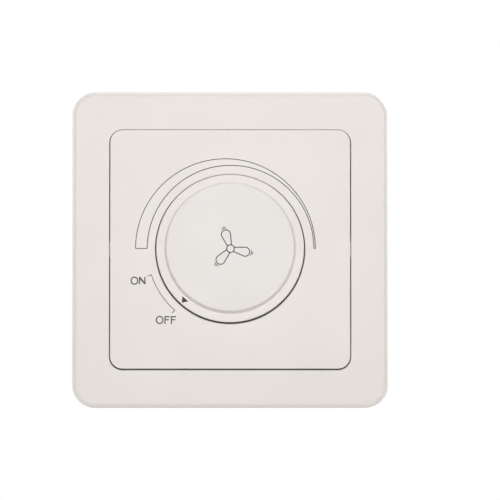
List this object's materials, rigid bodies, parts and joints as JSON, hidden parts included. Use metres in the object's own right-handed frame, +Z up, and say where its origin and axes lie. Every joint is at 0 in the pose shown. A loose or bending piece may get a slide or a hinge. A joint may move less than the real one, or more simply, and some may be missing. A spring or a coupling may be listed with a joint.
{
  "type": "fan speed control switch",
  "caption": "Square flush wall plate with a round turning knob that switches a fan on and sets its speed, on a steel yoke with a dimmer box and screw terminals behind.",
  "frame": {"origin": "middle of the wall plane, halfway between the two fixing screws", "axes": "+X to the right and +Z up as seen from the room, +Y into the wall; the front faces -Y"},
  "size_m": [0.086, 0.0499, 0.086],
  "materials": {
    "plate_plastic": "satin moulded plastic, warm off-white",
    "knob_plastic": "satin moulded plastic, warm off-white",
    "yoke_steel": "black-coated sheet steel",
    "screw_steel": "zinc-plated steel",
    "spring_steel": "blued spring steel",
    "housing_plastic": "fine textured dark grey plastic",
    "cast_zinc": "die-cast zinc",
    "turned_brass": "plain brass",
    "wafer_laminate": "brown laminate with a black carbon track",
    "switch_moulding": "brown moulded thermoset",
    "board_laminate": "green-coated laminate",
    "semiconductor": "black moulded resin",
    "pad_film": "grey insulating film",
    "ferrite": "sintered ferrite",
    "copper_wire": "enamelled copper",
    "film_case": "moulded film capacitor",
    "resistor_body": "lacquered film resistor",
    "fuse_glass": "clear glass with end caps",
    "terminal_moulding": "light grey moulded plastic"
  },
  "bodies": {
    "base": {"outer_frame": "plate_plastic", "cover_plate": "plate_plastic", "mounting_yoke": "yoke_steel", "rear_housing": "housing_plastic", "housing_screws": "screw_steel", "pot_bushing": "cast_zinc", "pot_washer": "screw_steel", "pot_nut": "turned_brass", "pot_can": "screw_steel", "pot_track": "wafer_laminate", "pot_tags": "turned_brass", "switch_box": "switch_moulding", "switch_moving_leaf": "turned_brass", "switch_fixed_contact": "turned_brass", "triac_pad": "pad_film", "triac": "semiconductor", "triac_screw": "screw_steel", "triac_nut": "screw_steel", "choke_core": "ferrite", "choke_winding": "copper_wire", "suppression_capacitor": "film_case", "timing_capacitor": "film_case", "resistors": "resistor_body", "trigger_diode": "semiconductor", "fuse_link": "fuse_glass", "fuse_clips": "turned_brass", "terminal_block": "terminal_moulding", "terminal_bars": "turned_brass", "circuit_board": "board_laminate"},
    "turning_knob": {"knob": "knob_plastic", "knob_spring": "spring_steel", "pot_shaft": "cast_zinc", "pot_rotor": "switch_moulding", "pot_wiper": "turned_brass", "switch_cam": "switch_moulding"},
    "terminal_screw_left": {"terminal_screw_left": "screw_steel"},
    "terminal_screw_right": {"terminal_screw_right": "screw_steel"},
    "terminal_cage_left": {"terminal_cage_left": "screw_steel"},
    "terminal_cage_right": {"terminal_cage_right": "screw_steel"}
  },
  "joints": [
    {"name": "knob_turn", "type": "hinge", "parent": "base", "child": "turning_knob", "pos_m": [0, 0, 0], "axis": [0, 1, 0], "range_deg": [0, 228.6]},
    {"name": "left_screw_turn", "type": "hinge", "parent": "base", "child": "terminal_screw_left", "pos_m": [-0.005, 0.025, -0.0218], "axis": [0, -1, 0], "range_deg": [0, 1440]},
    {"name": "left_cage_rise", "type": "slide", "parent": "base", "child": "terminal_cage_left", "axis": [0, 1, 0], "range_m": [0, 0.0024]},
    {"name": "right_screw_turn", "type": "hinge", "parent": "base", "child": "terminal_screw_right", "pos_m": [0.005, 0.025, -0.0218], "axis": [0, -1, 0], "range_deg": [0, 1440]},
    {"name": "right_cage_rise", "type": "slide", "parent": "base", "child": "terminal_cage_right", "axis": [0, 1, 0], "range_m": [0, 0.0024]}
  ],
  "couplings": [
    {"joint": "left_screw_turn", "follows": "left_cage_rise", "rad_per_m": 10472},
    {"joint": "right_screw_turn", "follows": "right_cage_rise", "rad_per_m": 10472}
  ]
}
